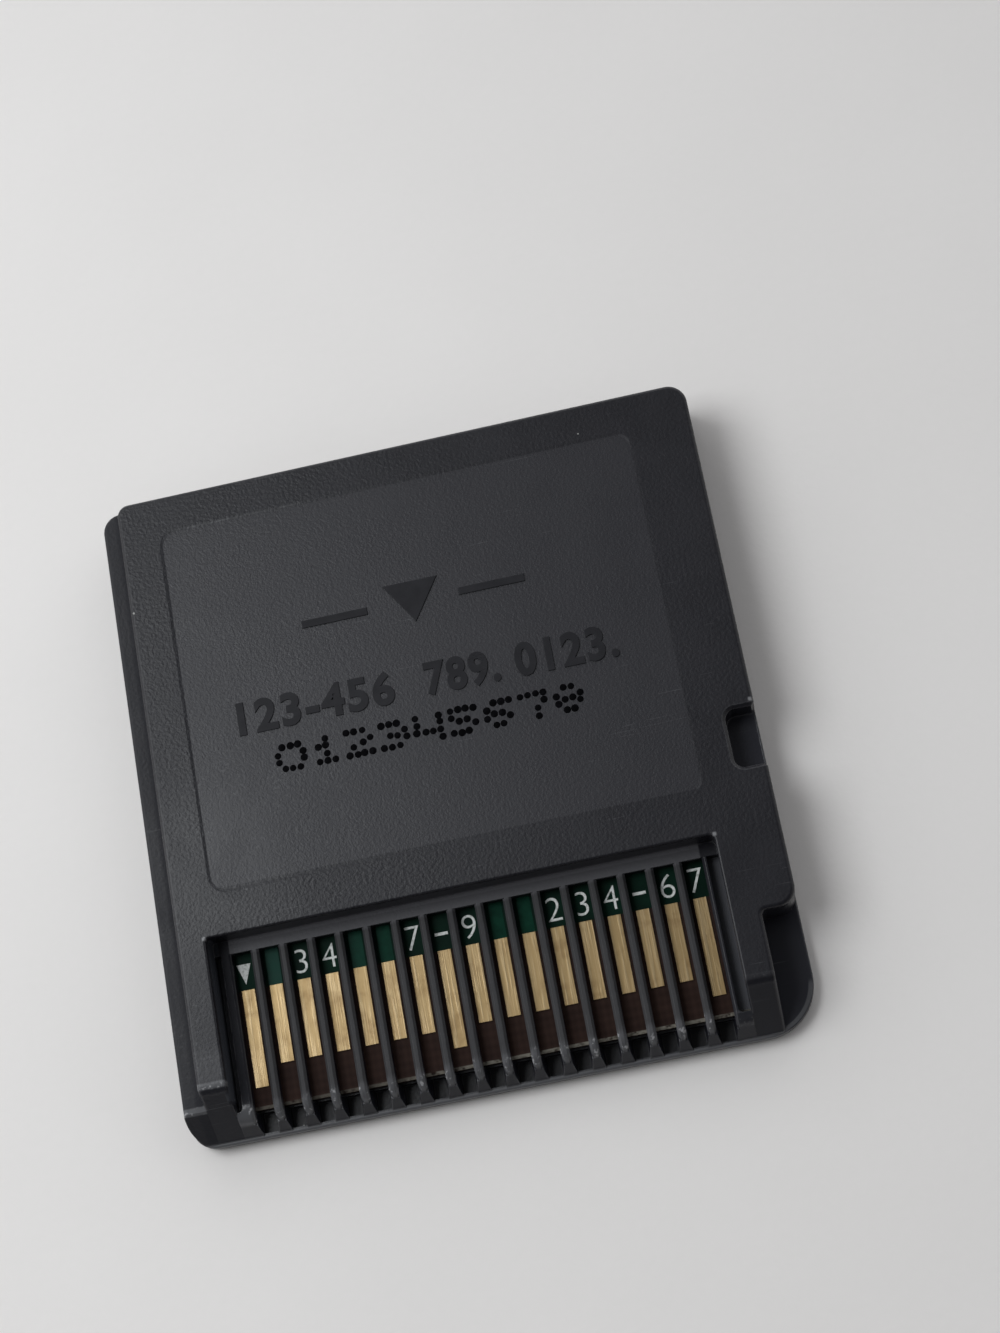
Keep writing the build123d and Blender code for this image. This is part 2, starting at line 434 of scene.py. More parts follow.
@dataclass(frozen=True)
class CasePlaces:
    """Where the parts of the two shells lie, in millimetres, and the masks of them."""

    panel: Field
    panel_floor: float
    recess: Field
    recess_top: float
    grille: Field
    rib_side: float
    guide: Field
    guide_top: float
    label: Field
    lip_top: float
    rail_end: float
    step: Field
    notch: Field
    turn: tuple[float, float]
    turn_radius: float
    corners: tuple[tuple[float, float], ...]

    def masks(self, bench: Bench) -> CaseMasks:
        """Lay out the masks that several layers of the finish share.

        Args:
            bench: The material's bench.

        Returns:
            The masks.
        """
        rib = self.rib_mask(bench)
        shade = self.shade_mask(bench)
        return CaseMasks(
            panel=self.panel_mask(bench),
            rim=self.panel_rim(bench),
            rib=rib,
            shade=shade,
            smooth=self.recess_mask(bench) * (1 - rib) * (1 - shade),
            dull=self.guide_mask(bench) + shade,
            nose=self.nose_mask(bench),
            end=self.rail_ends(bench),
            corner=self.corner_mask(bench),
            slant=self.slant_mask(bench),
        )

    def panel_mask(self, bench: Bench) -> Signal:
        """The recessed panel's floor.

        Args:
            bench: The material's bench.

        Returns:
            A value of 1 on the panel's floor and 0 elsewhere.
        """
        height = bench.axis("Z").within(self.panel_floor - 0.04, self.panel_floor + 0.04, 0.02)
        return bench.field(self.panel, 0.1) * height

    def panel_rim(self, bench: Bench) -> Signal:
        """The sloped edge round the panel.

        Args:
            bench: The material's bench.

        Returns:
            A value of 1 on the slope and 0 elsewhere.
        """
        ring = bench.field(self.panel.grown(0.35), 0.1) - bench.field(self.panel.grown(-0.3), 0.1)
        return ring * bench.axis("Z").rise(self.panel_floor - 0.2, self.panel_floor - 0.1)

    def rim_line(self, bench: Bench) -> Signal:
        """A broken light line on the panel's upper edge, at its left: wear and a painted highlight of that
        edge.

        Args:
            bench: The material's bench.

        Returns:
            A value of 1 on the line and 0 elsewhere.
        """
        area = self.panel
        along = bench.axis("Y").within(area.far + 0.02, area.far + 0.12, 0.08)
        across = bench.axis("X").within(area.left + 0.8, area.left + 8.0, 3.0)
        broken = bench.noise(0.9, 2.0).rise(0.3, 0.6)
        return along * across * broken * bench.axis("Z").rise(self.panel_floor - 0.2, self.panel_floor - 0.1)

    def guide_mask(self, bench: Bench) -> Signal:
        """The guide ledge's face, fullest in the corner beside the rail.

        Args:
            bench: The material's bench.

        Returns:
            A value of 1 in that corner, less over the ledge and 0 elsewhere.
        """
        area = self.guide
        corner = bench.axis("X").within(area.right - 0.5, area.right + 0.1, 0.3)
        low = bench.axis("Z").within(self.lip_top + 0.1, self.guide_top + 0.15, 0.2)
        return bench.field(area, 0.04) * low * (0.55 + corner * 0.45)

    def rail_ends(self, bench: Bench) -> Signal:
        """The bends where the rails and the guide ledge turn down, lightened for wear and as painted
        highlights.

        Args:
            bench: The material's bench.

        Returns:
            A value of 1 on the bends, less on the left rail above its bend, and 0 elsewhere.
        """
        along = bench.axis("Y")
        height = bench.axis("Z")
        side = 0.25 + bench.axis("X").rise(0.0, -1.0) * 0.75
        bend = along.within(self.rail_end - 0.1, self.rail_end + 0.2, 0.16)
        rail = bend * height.rise(self.recess_top - 0.4, self.recess_top - 0.2) * side
        left = Field(self.guide.right - 0.3, self.grille.left - 0.6, self.rail_end, self.rail_end + 1.9)
        tip = Field(self.guide.left, self.guide.right, self.rail_end - 1.15, self.rail_end - 0.75)
        above = bench.field(left, 0.9) * height.rise(self.recess_top, self.recess_top + 0.1)
        ledge = bench.field(tip, 0.12) * height.rise(self.guide_top - 0.45, self.guide_top - 0.25)
        return rail + above * 0.3 + ledge

    def slant_mask(self, bench: Bench) -> Signal:
        """The slanted ends of the rails and of the guide ledge, which face away from the light.

        Args:
            bench: The material's bench.

        Returns:
            A value of 1 on the slants and 0 elsewhere.
        """
        area = self.grille
        beside = 1 - bench.axis("X").within(area.left - 0.85, area.right + 0.95, 0.1)
        above = bench.axis("Z").rise(self.lip_top + 0.02, self.lip_top + 0.12)
        return beside * above * bench.axis("Y").rise(self.rail_end - 0.1, self.rail_end - 0.35)

    def lip_highlight_mask(self, bench: Bench) -> Signal:
        """The rim of the front shell at the contact end, painted lighter as a reflection of the floor, with
        a painted highlight round the turned corner.

        Args:
            bench: The material's bench.

        Returns:
            A value of 1 on the rim and 0 elsewhere.
        """
        low = bench.axis("Z").within(self.lip_top - 0.4, self.lip_top + 0.05, 0.1)
        along = bench.axis("Y").rise(self.grille.near + 0.12, self.grille.near - 0.02)
        middle_x, middle_y = self.turn
        across = (bench.axis("X") - middle_x).over(0.0)
        down = (middle_y - bench.axis("Y")).over(0.0)
        reach = (across * across + down * down) / (self.turn_radius * self.turn_radius)
        band = reach.rise(0.78, 0.84) * reach.rise(0.98, 0.93) * across.rise(0.0, 0.6) * down.rise(0.0, 0.6)
        return low * (along + band * 0.8).rise(0.0, 1.0)

    def floor_fill_mask(self, bench: Bench) -> Signal:
        """The floors of the keyed step and of the latch notch, which lie in shade and are painted lighter as
        if lit.

        Args:
            bench: The material's bench.

        Returns:
            A value of 1 on the floors and 0 elsewhere.
        """
        low = bench.axis("Z").within(self.lip_top - 0.1, self.lip_top + 0.06, 0.08)
        middle = bench.axis("Z").within(self.rib_side - 0.1, self.rib_side + 0.3, 0.1)
        return bench.field(self.step, 0.1) * low + bench.field(self.notch, 0.1) * middle

    def recess_mask(self, bench: Bench) -> Signal:
        """The smoother floors: below the back face beside the rails and the ribs, and under the label.

        Args:
            bench: The material's bench.

        Returns:
            A value of 1 on those floors and 0 elsewhere.
        """
        height = bench.axis("Z")
        below = height.within(self.lip_top - 0.3, self.recess_top - 0.08, 0.15)
        under = bench.field(self.label, 0.06) * height.rise(0.35, 0.25)
        return bench.field(self.recess, 0.06) * below + under

    def rib_mask(self, bench: Bench) -> Signal:
        """The tops of the ribs over the contacts.

        Args:
            bench: The material's bench.

        Returns:
            A value of 1 on the ribs and 0 elsewhere.
        """
        height = bench.axis("Z").within(self.rib_side, self.rib_side + 0.5, 0.1)
        return bench.field(self.grille, 0.1) * height

    def bar_light_mask(self, bench: Bench) -> Signal:
        """The cross bar that joins the ribs at the window's back, painted lighter as if lit, with a painted
        highlight along its back.

        Args:
            bench: The material's bench.

        Returns:
            A value of 1 on the bar, more along its back, and 0 elsewhere.
        """
        back = self.grille.far
        along = bench.axis("Y")
        return along.rise(back - 0.95, back - 0.7) * (0.6 + along.rise(back - 0.25, back - 0.12) * 0.9)

    def nose_mask(self, bench: Bench) -> Signal:
        """The bends of the ribs and ledges at the contact end, lightened for wear and as painted highlights.

        Args:
            bench: The material's bench.

        Returns:
            A value of 1 on the bends and 0 elsewhere.
        """
        area = self.grille
        across = bench.axis("X").within(area.left - 0.85, area.right, 0.1)
        beside = bench.axis("X").within(area.right, area.right + 0.95, 0.1)
        height = bench.axis("Z").within(self.rib_side - 0.35, self.rib_side + 0.4, 0.3)
        along = bench.axis("Y").rise(area.near + 1.9, area.near + 1.0)
        return (across + beside * 0.3) * height * along

    def shade_mask(self, bench: Bench) -> Signal:
        """The ledge beside the ribs under the left rail: duller, and painted darker as the rail's shade.

        Args:
            bench: The material's bench.

        Returns:
            A value of 1 on the ledge and 0 elsewhere.
        """
        area = self.grille
        ledge = bench.field(Field(area.left - 1.0, area.left, area.near + 1.6, area.far), 0.08)
        return ledge * bench.axis("Z").within(self.lip_top, self.recess_top - 0.08, 0.15)

    def wall_fill_mask(self, bench: Bench) -> Signal:
        """The window's left wall and the groove at its foot, which face away from the light and are painted
        lighter as if lit.

        Args:
            bench: The material's bench.

        Returns:
            A value of 1 on the wall and 0 elsewhere.
        """
        area = self.grille
        wall = bench.field(Field(area.left - 1.0, area.left - 0.55, area.near + 1.8, area.far), 0.08)
        return wall * bench.axis("Z").within(self.lip_top, self.recess_top - 0.2, 0.3)

    def kept_mask(self, bench: Bench) -> Signal:
        """Where edges are lightened for wear and as painted highlights: little along the window's right
        side.

        Args:
            bench: The material's bench.

        Returns:
            A value of 1, less on that side.
        """
        area = self.grille
        side = Field(area.right - 0.05, area.right + 1.15, area.near + 1.3, area.far - 0.2)
        return 1 - bench.field(side, 0.1) * 0.75

    def corner_mask(self, bench: Bench) -> Signal:
        """The corners of the window's upper edge and of the notch, lightened for wear and with painted
        glints.

        Args:
            bench: The material's bench.

        Returns:
            A value of 1 at the corners and 0 elsewhere.
        """
        spots = [bench.field(Field(x - 0.1, x + 0.1, y - 0.1, y + 0.1), 0.14) for x, y in self.corners]
        return sum(spots) * bench.axis("Z").rise(self.recess_top - 0.1, self.recess_top)

    def grain_share(self, bench: Bench) -> Signal:
        """How deep the grain is: deepest at the left, shallow on the rails beside the window.

        Args:
            bench: The material's bench.

        Returns:
            A value from 0 to 1.
        """
        rails = bench.axis("Y").rise(self.grille.far + 0.5, self.grille.far - 1.5)
        return (0.6 + bench.axis("X").rise(6.0, -10.0) * 0.4) * (1 - rails * 0.5)


@dataclass(frozen=True)
class CasePlastic:
    """Charcoal plastic with a spark-eroded grain and a finer grain on the panel, edges lightened for wear
    and as painted highlights, and painted light and shade in its hollows.
    """

    places: CasePlaces
    name: str = "case_charcoal_plastic"
    dark: Colour = (0.0056, 0.0055, 0.0084, 1.0)
    light: Colour = (0.0100, 0.0098, 0.0138, 1.0)
    matt: Colour = (0.0145, 0.0142, 0.0186, 1.0)
    smooth: Colour = (0.0105, 0.0107, 0.0150, 1.0)
    # Painted shade on the slants and on the ledge under the left rail.
    shaded: Colour = (0.0050, 0.0053, 0.0094, 1.0)
    # Painted fill light on the window's left wall, which faces away from the light.
    painted_wall_fill: Colour = (0.0270, 0.0300, 0.0380, 1.0)
    # Painted fill light on the floors of the step and the notch, which lie in shade.
    painted_floor_fill: Colour = (0.0195, 0.0202, 0.0270, 1.0)
    rib: Colour = (0.0290, 0.0286, 0.0310, 1.0)
    fleck: Colour = (0.0380, 0.0390, 0.0430, 1.0)
    # A lighter colour for wear, and for painted highlights on edges, bends and the lip.
    wear_and_highlight: Colour = (0.085, 0.086, 0.092, 1.0)
    dust: Colour = (0.42, 0.42, 0.40, 1.0)
    # Painted glints on the bends and corners.
    glint: Colour = (0.34, 0.34, 0.35, 1.0)
    # Painted light: a lighter colour on the cross bar, and a painted highlight along its back.
    bar: Colour = (0.1060, 0.1050, 0.1160, 1.0)
    grain: float = 0.18
    grain_depth: float = 0.031
    cloud: float = 4.0

    def material(self) -> bpy.types.Material:
        """Make the finish.

        Returns:
            The material.
        """
        bench = Bench(self.name)
        masks = self.places.masks(bench)
        cloud = bench.noise(self.cloud, 3.0).rise(0.3, 0.7)
        grain = bench.noise(self.grain, 2.0)
        fine = bench.noise(self.grain / 2, 2.0)
        relief = grain + (fine - grain) * (masks.panel * 0.35)
        edge = self.wear_and_highlight_edges(bench, masks)
        body = self.body_colour(bench, masks, self.skin_colour(bench, masks, cloud, relief))
        gloss = masks.smooth * 0.12 + edge * 0.06
        return bench.surface(
            Base_Color=self.wear_and_highlight_colour(bench, masks, body, edge),
            Roughness=0.42 + masks.dull * 0.3 + masks.rib * 0.2 + (cloud - 0.5) * 0.05 - gloss,
            Specular_IOR_Level=0.37,
            Coat_Weight=masks.panel * 0.15 + self.handled(bench) * (0.2 - masks.dull * 0.2),
            Coat_Roughness=0.42,
            Normal=bench.bump(
                relief * (1 - masks.smooth * 0.7) * self.places.grain_share(bench),
                self.grain_depth,
                0.05,
                masks.rim * (0.55 + bench.axis("X").rise(-6.0, 6.0) * 0.4),
            ),
        )

    def skin_colour(self, bench: Bench, masks: CaseMasks, cloud: Signal, relief: Signal) -> Signal:
        """The colour of the moulded skin, before anything is set apart from it.

        Args:
            bench: The material's bench.
            masks: The case's masks.
            cloud: Soft clouds over the whole case.
            relief: The grain's relief.

        Returns:
            The colour.
        """
        skin = bench.mix(cloud * 0.45 + relief.rise(0.35, 0.7) * 0.55, self.dark, self.light)
        skin = bench.mix(masks.panel * (0.7 + relief * 0.4), skin, self.matt)
        return bench.mix(self.fleck_mask(bench), skin, self.fleck)

    def body_colour(self, bench: Bench, masks: CaseMasks, skin: Signal) -> Signal:
        """The skin with the ribs set apart, painted light on the cross bar, painted shade on the slants and
        on the ledge under the left rail, and painted fill light on the window's left wall and on the floors
        of the step and the notch.

        Args:
            bench: The material's bench.
            masks: The case's masks.
            skin: The skin's colour.

        Returns:
            The colour.
        """
        body = bench.mix(masks.smooth + masks.dull * 0.8, skin, self.smooth)
        body = bench.mix(masks.rib, body, self.rib)
        # Painted light on the cross bar, with a painted highlight along its back.
        body = bench.mix(masks.rib * self.places.bar_light_mask(bench), body, self.bar)
        # Painted shade on the slants and on the ledge under the left rail.
        body = bench.mix(masks.slant + masks.shade * 0.8, body, self.shaded)
        # Painted fill light on the window's left wall.
        body = bench.mix(self.places.wall_fill_mask(bench), body, self.painted_wall_fill)
        # Painted fill light on the floors of the step and the notch.
        return bench.mix(self.places.floor_fill_mask(bench), body, self.painted_floor_fill)

    def wear_and_highlight_edges(self, bench: Bench, masks: CaseMasks) -> Signal:
        """The edges lightened for wear and as painted highlights, in patches, and full round the step and
        the notch.

        Args:
            bench: The material's bench.
            masks: The case's masks.

        Returns:
            A value of 0 on flats, and 1 or more on the lightened edges.
        """
        keyed = bench.field(self.places.step, 0.3) + bench.field(self.places.notch, 0.3)
        patchy = bench.noise(0.7, 3.0).rise(0.3, 0.62)
        sharp = bench.edges(0.16, 0.22) * (patchy + keyed).rise(0.0, 1.0)
        # The wider band round the step and the notch is a painted highlight.
        return sharp * (1 - masks.rim) * self.places.kept_mask(bench) + bench.edges(0.34, 0.22) * keyed * 0.5

    def wear_and_highlight_colour(self, bench: Bench, masks: CaseMasks, body: Signal, edge: Signal) -> Signal:
        """The body with its edges and bends lightened for wear and as painted highlights, scratches, painted
        glints and dust.

        Args:
            bench: The material's bench.
            masks: The case's masks.
            body: The body's colour.
            edge: The edges lightened for wear and as painted highlights.

        Returns:
            The colour.
        """
        bends = masks.nose + masks.end + masks.corner
        # Bends: wear and painted highlights; the lip: a painted reflection of the floor.
        rubs_and_highlights = bends * (0.5 + bench.noise(0.5, 3.0) * 0.8) + self.places.lip_highlight_mask(bench)
        lines = self.scuffs(bench) + self.places.rim_line(bench)
        wear_and_highlight_mix = bench.mix((edge * 0.85 + lines * 0.5 + rubs_and_highlights).rise(0.0, 1.0), body, self.wear_and_highlight)
        # Painted glints on the bends and at the corners.
        bright = (masks.nose + masks.end * 0.6) * bench.noise(0.3, 2.0).rise(0.56, 0.7) + masks.corner * 0.45
        shining = bench.mix(bright.rise(0.0, 1.0), wear_and_highlight_mix, self.glint)
        return bench.mix(bench.specks(1.5, 0.075) * 0.7, shining, self.dust)

    @staticmethod
    def fleck_mask(bench: Bench) -> Signal:
        """Light flecks of the grain, most at the lower left.

        Args:
            bench: The material's bench.

        Returns:
            A value from 0 to 1.
        """
        place = bench.axis("X").rise(4.0, -12.0) * (0.35 + bench.axis("Y").rise(12.0, -2.0) * 0.65)
        patch = bench.noise(1.6, 2.0).rise(0.3, 0.7)
        return bench.noise(0.2, 1.0).rise(0.56, 0.74) * patch * place

    @staticmethod
    def handled(bench: Bench) -> Signal:
        """Where fingers have polished the plastic at the lower left.

        Args:
            bench: The material's bench.

        Returns:
            A value from 0 to 1 with a wide soft border.
        """
        patch = bench.field(Field(-17.5, -9.5, -8.0, 0.5), 5.0)
        return patch * bench.noise(2.2, 3.0).rise(0.15, 0.6)

    @staticmethod
    def scuffs(bench: Bench) -> Signal:
        """Short fine scratches in two directions, in patches.

        Args:
            bench: The material's bench.

        Returns:
            A value of 1 in a scratch and 0 elsewhere.
        """
        first = bench.noise(1.0, 2.0, bench.stretched((0.22, 9.0, 9.0), 24.0)).rise(0.69, 0.76)
        second = bench.noise(1.0, 2.0, bench.stretched((0.3, 11.0, 11.0), -58.0)).rise(0.71, 0.78)
        patch = bench.noise(6.0, 1.0).rise(0.42, 0.62)
        return (first + second) * patch


@dataclass(frozen=True)
class PolishedMark:
    """The case's plastic, polished smooth where a mark stands up from the panel."""

    name: str = "mark_polished_plastic"
    dark: Colour = (0.0145, 0.0145, 0.0170, 1.0)
    light: Colour = (0.0195, 0.0195, 0.0225, 1.0)

    def material(self) -> bpy.types.Material:
        """Make the finish.

        Returns:
            The material.
        """
        bench = Bench(self.name)
        cloud = bench.noise(0.9, 3.0)
        rub = bench.noise(1.0, 2.0, bench.stretched((0.5, 8.0, 8.0), 15.0)).rise(0.62, 0.75)
        return bench.surface(
            Base_Color=bench.mix(cloud.rise(0.3, 0.7), self.dark, self.light),
            Roughness=0.48 + rub * 0.1 + (cloud - 0.5) * 0.08,
            Specular_IOR_Level=0.12,
            Normal=bench.bump(bench.noise(0.25, 2.0), 0.002, 0.03),
        )


@dataclass(frozen=True)
class BoardLaminate:
    """Brown glass laminate with green solder mask behind the contacts, a pale cut edge, and a light grey
    painted fill at its left and right ends, deep in shadow beside the window.
    """

    board: Box
    mask_from: float
    bevel: float
    margin_left: float
    margin_right: float
    name: str = "board_mask_and_laminate"
    mask_dark: Colour = (0.0010, 0.0110, 0.0065, 1.0)
    mask_light: Colour = (0.0022, 0.0200, 0.0115, 1.0)
    laminate: Colour = (0.018, 0.0095, 0.0078, 1.0)
    laminate_light: Colour = (0.035, 0.0195, 0.0155, 1.0)
    # Painted fill light: a light grey where the board lies deep in shadow beyond the outer contacts.
    margin: Colour = (0.090, 0.092, 0.102, 1.0)
    cut: Colour = (0.34, 0.32, 0.27, 1.0)

    def material(self) -> bpy.types.Material:
        """Make the finish.

        Returns:
            The material.
        """
        bench = Bench(self.name)
        along = bench.axis("Y")
        height = bench.axis("Z")
        masked = along.rise(self.mask_from - 0.03, self.mask_from + 0.03)
        weave = self.weave(bench)
        cloud = bench.noise(1.4, 3.0).rise(0.3, 0.7)
        bare = bench.mix(weave * 0.55 + cloud * 0.45, self.laminate, self.laminate_light)
        mask = bench.mix(cloud, self.mask_dark, self.mask_light)
        face = bench.mix(masked, bare, mask)
        # Painted fill light beyond the outer contacts.
        painted_fill_sides = 1 - bench.axis("X").within(self.margin_left, self.margin_right, 0.08)
        face = bench.mix(painted_fill_sides, face, self.margin)
        end = along.rise(self.board.low.y + self.bevel + 0.03, self.board.low.y + self.bevel - 0.03)
        upper = height.rise(self.board.high.z - self.bevel - 0.06, self.board.high.z - self.bevel)
        frayed = bench.noise(0.35, 2.0).rise(0.25, 0.6) * (0.45 + bench.axis("X").rise(-9.0, 2.0) * 0.55)
        return bench.surface(
            Base_Color=bench.mix(end * upper * frayed, face, self.cut),
            Roughness=0.58 - masked * 0.1 + cloud * 0.06,
            Specular_IOR_Level=0.06,
            Normal=bench.bump(weave * (1 - masked * 0.8), 0.004),
        )

    @staticmethod
    def weave(bench: Bench) -> Signal:
        """The glass cloth under the laminate's skin.

        Args:
            bench: The material's bench.

        Returns:
            A value from 0 to 1.
        """
        threads = []
        for axis, scale in (("X", 0.9), ("Y", 0.7)):
            settings = {"wave_type": "BANDS", "wave_profile": "SIN", "bands_direction": axis}
            values = {"Vector": bench.place, "Scale": scale}
            threads.append(bench.node("ShaderNodeTexWave", settings, values, "Fac"))
        return sum(threads) / 2


@dataclass(frozen=True)
class MaskedTrace:
    """Solder mask over a copper line, lighter than the mask on bare laminate, with a painted sheen at the
    left.
    """

    name: str = "trace_under_mask"
    dark: Colour = (0.0024, 0.026, 0.0155, 1.0)
    light: Colour = (0.0052, 0.044, 0.0262, 1.0)
    # Painted sheen: a lighter, hazier green towards the left.
    painted_sheen: Colour = (0.0170, 0.0540, 0.0420, 1.0)

    def material(self) -> bpy.types.Material:
        """Make the finish.

        Returns:
            The material.
        """
        bench = Bench(self.name)
        cloud = bench.noise(0.8, 3.0).rise(0.3, 0.7)
        clear = bench.mix(cloud, self.dark, self.light)
        return bench.surface(
            Base_Color=bench.mix(bench.axis("X").rise(-3.0, -11.0) * 0.8, clear, self.painted_sheen),
            Roughness=0.35 + cloud * 0.1,
            Specular_IOR_Level=0.04,
            Normal=bench.bump(bench.noise(0.3, 2.0), 0.003),
        )


@dataclass(frozen=True)
class ContactGold:
    """Thin gold plate with wipe streaks from the socket's springs and a little tarnish."""

    name: str = "contact_gold_plate"
    gold: Colour = (0.355, 0.250, 0.123, 1.0)
    pale: Colour = (0.475, 0.362, 0.212, 1.0)
    tarnish: Colour = (0.190, 0.115, 0.050, 1.0)

    def material(self) -> bpy.types.Material:
        """Make the finish.

        Returns:
            The material.
        """
        bench = Bench(self.name)
        streak = bench.noise(1.0, 3.0, bench.stretched((12.0, 0.35, 4.0))).rise(0.42, 0.7)
        cloud = bench.noise(1.1, 3.0)
        spots = bench.specks(0.5, 0.06)
        plate = bench.mix(streak * 0.7, self.gold, self.pale)
        dulled = bench.mix(cloud.rise(0.5, 0.75) * 0.45, plate, self.tarnish)
        return bench.surface(
            Base_Color=bench.mix(spots * 0.4, dulled, self.tarnish),
            Metallic=0.92 - spots * 0.2,
            Roughness=0.36 + cloud * 0.16 - streak * 0.06,
            Normal=bench.bump(streak + bench.noise(0.12, 2.0) * 0.5, 0.003, 0.03),
        )


@dataclass(frozen=True)
class PrintInk:
    """Printed ink: white on the board, black on the case."""

    name: str
    thin: Colour
    thick: Colour
    roughness: float
    shine: float
    size: float

    def material(self) -> bpy.types.Material:
        """Make the finish.

        Returns:
            The material.
        """
        bench = Bench(self.name)
        cover = bench.noise(self.size, 3.0)
        return bench.surface(
            Base_Color=bench.mix(cover.rise(0.28, 0.55), self.thin, self.thick),
            Roughness=self.roughness + (cover - 0.5) * 0.2,
            Specular_IOR_Level=self.shine,
            Normal=bench.bump(cover, 0.004),
        )


@dataclass(frozen=True)
class ChipCompound:
    """Black moulding compound of the chips, with fine filler in it."""

    name: str = "chip_moulding_compound"
    dark: Colour = (0.010, 0.010, 0.011, 1.0)
    light: Colour = (0.026, 0.026, 0.027, 1.0)

    def material(self) -> bpy.types.Material:
        """Make the finish.

        Returns:
            The material.
        """
        bench = Bench(self.name)
        grain = bench.noise(0.09, 2.0)
        filler = bench.specks(0.28, 0.04)
        return bench.surface(
            Base_Color=bench.mix(grain.rise(0.3, 0.7) * 0.7 + filler * 0.3, self.dark, self.light),
            Roughness=0.52 + grain * 0.12,
            Normal=bench.bump(grain, 0.008, 0.04),
        )


@dataclass(frozen=True)
class TinnedLead:
    """Dull tin on the chips' leads, brushed along the lead."""

    name: str = "lead_dull_tin"
    bright: Colour = (0.72, 0.71, 0.69, 1.0)
    dull: Colour = (0.46, 0.46, 0.46, 1.0)

    def material(self) -> bpy.types.Material:
        """Make the finish.

        Returns:
            The material.
        """
        bench = Bench(self.name)
        brush = bench.noise(1.0, 2.0, bench.stretched((1.5, 9.0, 9.0)))
        cloud = bench.noise(0.4, 2.0)
        return bench.surface(
            Base_Color=bench.mix(cloud.rise(0.3, 0.7), self.bright, self.dull),
            Metallic=1.0,
            Roughness=0.3 + brush * 0.2,
            Normal=bench.bump(brush, 0.003, 0.02),
        )


@dataclass(frozen=True)
class PassiveCeramic:
    """A small board part: a ceramic body between two tinned ends."""

    body: Box
    name: str
    dark: Colour
    light: Colour
    cap: float = 0.22
    tin: Colour = (0.62, 0.61, 0.59, 1.0)

    def material(self) -> bpy.types.Material:
        """Make the finish.

        Returns:
            The material.
        """
        bench = Bench(self.name)
        size = self.body.high - self.body.low
        index = 0 if size.x > size.y else 1
        low, high = self.body.low[index] + self.cap, self.body.high[index] - self.cap
        middle = bench.axis("XY"[index]).within(low, high, 0.03)
        grain = bench.noise(0.1, 2.0)
        ceramic = bench.mix(grain.rise(0.3, 0.7), self.dark, self.light)
        return bench.surface(
            Base_Color=bench.mix(middle, self.tin, ceramic),
            Metallic=1 - middle,
            Roughness=0.34 + middle * 0.1 + grain * 0.1,
            Normal=bench.bump(grain, 0.003, 0.03),
        )


@dataclass(frozen=True)
class PaleFloor:
    """A plain pale studio floor."""

    name: str = "floor_pale"
    dark: Colour = (0.845, 0.820, 0.800, 1.0)
    light: Colour = (0.880, 0.855, 0.835, 1.0)

    def material(self) -> bpy.types.Material:
        """Make the finish.

        Returns:
            The material.
        """
        bench = Bench(self.name)
        cloud = bench.noise(18.0, 3.0).rise(0.3, 0.7)
        grain = bench.noise(0.5, 2.0)
        return bench.surface(
            Base_Color=bench.mix(cloud * 0.5 + grain * 0.5, self.dark, self.light),
            Roughness=0.82 + grain * 0.1,
            Normal=bench.bump(grain, 0.01),
        )


def dress(nodes: Iterable[str], material: bpy.types.Material) -> None:
    """Give CAD nodes a finish.

    Args:
        nodes: The names of the CAD nodes.
        material: Their finish.
    """
    for node in nodes:
        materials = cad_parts[node].data.materials
        materials.clear()
        materials.append(material)
        LOG.info("%s wears %s", node, material.name)


def piece(name: str, mesh: bmesh.types.BMesh, material: bpy.types.Material) -> bpy.types.Object:
    """Turn a bmesh in millimetres into a finished piece of the card.

    Args:
        name: The piece's name.
        mesh: Its bmesh, in place, which is used up.
        material: Its finish.

    Returns:
        The new object, riding on the card.
    """
    bmesh.ops.remove_doubles(mesh, verts=mesh.verts, dist=1e-5)
    bmesh.ops.recalc_face_normals(mesh, faces=mesh.faces)
    bmesh.ops.scale(mesh, vec=(MM, MM, MM), verts=mesh.verts)
    data = bpy.data.meshes.new(name)
    mesh.to_mesh(data)
    mesh.free()
    data.shade_smooth()
    data.set_sharp_from_angle(angle=math.radians(20.0))
    data.materials.append(material)
    made = bpy.data.objects.new(name, data)
    bpy.context.scene.collection.objects.link(made)
    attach(made, BODY)
    LOG.info("%s: %d faces in %s", name, len(data.polygons), material.name)
    return made


def extrude_up(mesh: bmesh.types.BMesh, height: float) -> None:
    """Give a flat bmesh a thickness upwards.

    Args:
        mesh: The flat bmesh.
        height: The thickness.
    """
    made = bmesh.ops.extrude_face_region(mesh, geom=list(mesh.faces), use_keep_orig=True)
    raised = [part for part in made["geom"] if isinstance(part, bmesh.types.BMVert)]
    bmesh.ops.translate(mesh, verts=raised, vec=(0.0, 0.0, height))


def soften_top(mesh: bmesh.types.BMesh, size: float) -> None:
    """Bevel the highest edges of a bmesh.

    Args:
        mesh: The bmesh.
        size: The width of the bevel.
    """
    top = max(vertex.co.z for vertex in mesh.verts)
    edges = [edge for edge in mesh.edges if all(abs(vertex.co.z - top) < 1e-6 for vertex in edge.verts)]
    bmesh.ops.bevel(
        mesh,
        geom=edges,
        offset=size,
        offset_type="OFFSET",
        segments=2,
        profile=0.5,
        affect="EDGES",
        clamp_overlap=True,
        material=-1,
    )


